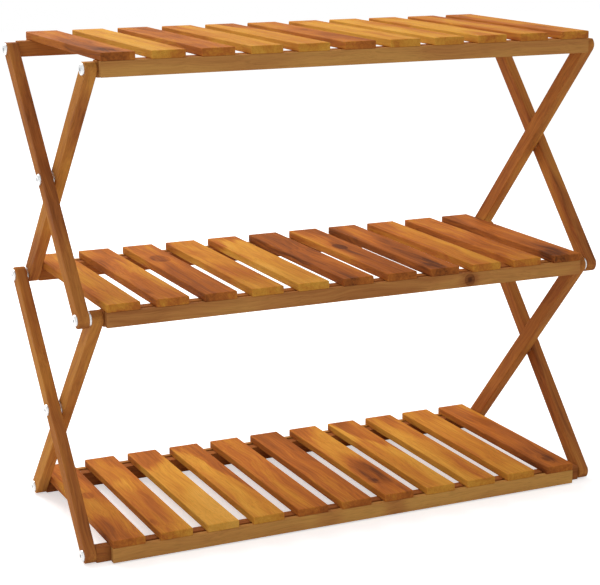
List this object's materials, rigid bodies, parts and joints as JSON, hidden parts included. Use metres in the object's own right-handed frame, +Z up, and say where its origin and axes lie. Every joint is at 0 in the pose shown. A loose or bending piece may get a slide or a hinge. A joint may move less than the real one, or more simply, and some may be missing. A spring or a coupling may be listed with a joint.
{
  "type": "folding shelf",
  "caption": "Freestanding folding wooden rack: slatted shelves that lift off crossbars between scissor leg frames, which pivot on round headed bolts and close flat.",
  "frame": {"origin": "on the floor, centred under the rack in width and depth", "axes": "+X to the right along the shelves, +Y towards the back, +Z up; the front is at -Y"},
  "size_m": [0.7468, 0.304, 0.6302],
  "materials": {
    "slat_wood": "satin",
    "batten_wood": "satin",
    "frame_wood": "satin",
    "zinc_plate": "satin"
  },
  "bodies": {
    "bottom_front_bar": {"bottom_front_bar": "frame_wood"},
    "bottom_shelf": {"bottom_slat_01": "slat_wood", "bottom_slat_02": "slat_wood", "bottom_slat_03": "slat_wood", "bottom_slat_04": "slat_wood", "bottom_slat_05": "slat_wood", "bottom_slat_06": "slat_wood", "bottom_slat_07": "slat_wood", "bottom_slat_08": "slat_wood", "bottom_slat_09": "slat_wood", "bottom_slat_10": "slat_wood", "bottom_slat_11": "slat_wood", "bottom_front_batten": "batten_wood", "bottom_back_batten": "batten_wood", "bottom_slat_screws": "zinc_plate"},
    "middle_shelf": {"middle_slat_01": "slat_wood", "middle_slat_02": "slat_wood", "middle_slat_03": "slat_wood", "middle_slat_04": "slat_wood", "middle_slat_05": "slat_wood", "middle_slat_06": "slat_wood", "middle_slat_07": "slat_wood", "middle_slat_08": "slat_wood", "middle_slat_09": "slat_wood", "middle_slat_10": "slat_wood", "middle_slat_11": "slat_wood", "middle_front_batten": "batten_wood", "middle_back_batten": "batten_wood", "middle_slat_screws": "zinc_plate"},
    "top_shelf": {"top_slat_01": "slat_wood", "top_slat_02": "slat_wood", "top_slat_03": "slat_wood", "top_slat_04": "slat_wood", "top_slat_05": "slat_wood", "top_slat_06": "slat_wood", "top_slat_07": "slat_wood", "top_slat_08": "slat_wood", "top_slat_09": "slat_wood", "top_slat_10": "slat_wood", "top_slat_11": "slat_wood", "top_front_batten": "batten_wood", "top_back_batten": "batten_wood", "top_slat_screws": "zinc_plate"},
    "bottom_back_bar": {"bottom_back_bar": "frame_wood"},
    "middle_front_bar": {"middle_front_bar": "frame_wood"},
    "middle_back_bar": {"middle_back_bar": "frame_wood"},
    "top_front_bar": {"top_front_bar": "frame_wood"},
    "top_back_bar": {"top_back_bar": "frame_wood"},
    "lower_outer_legs": {"lower_outer_leg_left": "frame_wood", "lower_outer_leg_right": "frame_wood", "lower_outer_bolts": "zinc_plate"},
    "lower_inner_legs": {"lower_inner_leg_left": "frame_wood", "lower_inner_leg_right": "frame_wood", "lower_inner_bolts": "zinc_plate"},
    "upper_outer_legs": {"upper_outer_leg_left": "frame_wood", "upper_outer_leg_right": "frame_wood", "upper_outer_bolts": "zinc_plate"},
    "upper_inner_legs": {"upper_inner_leg_left": "frame_wood", "upper_inner_leg_right": "frame_wood", "upper_inner_bolts": "zinc_plate"}
  },
  "joints": [
    {"name": "fold", "type": "hinge", "parent": "bottom_front_bar", "child": "lower_outer_legs", "pos_m": [0, -0.1325, 0.01], "axis": [1, 0, 0], "range_deg": [0, 37.5]},
    {"name": "lower_crossing", "type": "hinge", "parent": "lower_outer_legs", "child": "lower_inner_legs", "pos_m": [0, 0, 0.16], "axis": [-1, 0, 0], "range_deg": [0, 75]},
    {"name": "back_knuckle", "type": "hinge", "parent": "lower_outer_legs", "child": "upper_inner_legs", "pos_m": [0, 0.1325, 0.31], "axis": [-1, 0, 0], "range_deg": [0, 75]},
    {"name": "front_knuckle", "type": "hinge", "parent": "lower_inner_legs", "child": "upper_outer_legs", "pos_m": [0, -0.1325, 0.31], "axis": [1, 0, 0], "range_deg": [0, 75]},
    {"name": "bottom_back_bar_level", "type": "hinge", "parent": "lower_inner_legs", "child": "bottom_back_bar", "pos_m": [0, 0.1325, 0.01], "axis": [1, 0, 0], "range_deg": [0, 37.5]},
    {"name": "middle_front_bar_level", "type": "hinge", "parent": "lower_inner_legs", "child": "middle_front_bar", "pos_m": [0, -0.1325, 0.31], "axis": [1, 0, 0], "range_deg": [0, 37.5]},
    {"name": "middle_back_bar_level", "type": "hinge", "parent": "lower_outer_legs", "child": "middle_back_bar", "pos_m": [0, 0.1325, 0.31], "axis": [-1, 0, 0], "range_deg": [0, 37.5]},
    {"name": "top_front_bar_level", "type": "hinge", "parent": "upper_inner_legs", "child": "top_front_bar", "pos_m": [0, -0.1325, 0.61], "axis": [1, 0, 0], "range_deg": [0, 37.5]},
    {"name": "top_back_bar_level", "type": "hinge", "parent": "upper_outer_legs", "child": "top_back_bar", "pos_m": [0, 0.1325, 0.61], "axis": [-1, 0, 0], "range_deg": [0, 37.5]},
    {"name": "bottom_shelf_lift", "type": "slide", "parent": "bottom_front_bar", "child": "bottom_shelf", "axis": [0, 0, 1], "range_m": [0, 0.06]},
    {"name": "middle_shelf_lift", "type": "slide", "parent": "middle_front_bar", "child": "middle_shelf", "axis": [0, 0, 1], "range_m": [0, 0.06]},
    {"name": "top_shelf_lift", "type": "slide", "parent": "top_front_bar", "child": "top_shelf", "axis": [0, 0, 1], "range_m": [0, 0.06]}
  ],
  "couplings": [
    {"joint": "lower_crossing", "follows": "fold", "ratio": 2},
    {"joint": "back_knuckle", "follows": "fold", "ratio": 2},
    {"joint": "front_knuckle", "follows": "fold", "ratio": 2},
    {"joint": "bottom_back_bar_level", "follows": "fold", "ratio": 1},
    {"joint": "middle_front_bar_level", "follows": "fold", "ratio": 1},
    {"joint": "middle_back_bar_level", "follows": "fold", "ratio": 1},
    {"joint": "top_front_bar_level", "follows": "fold", "ratio": 1},
    {"joint": "top_back_bar_level", "follows": "fold", "ratio": 1}
  ]
}
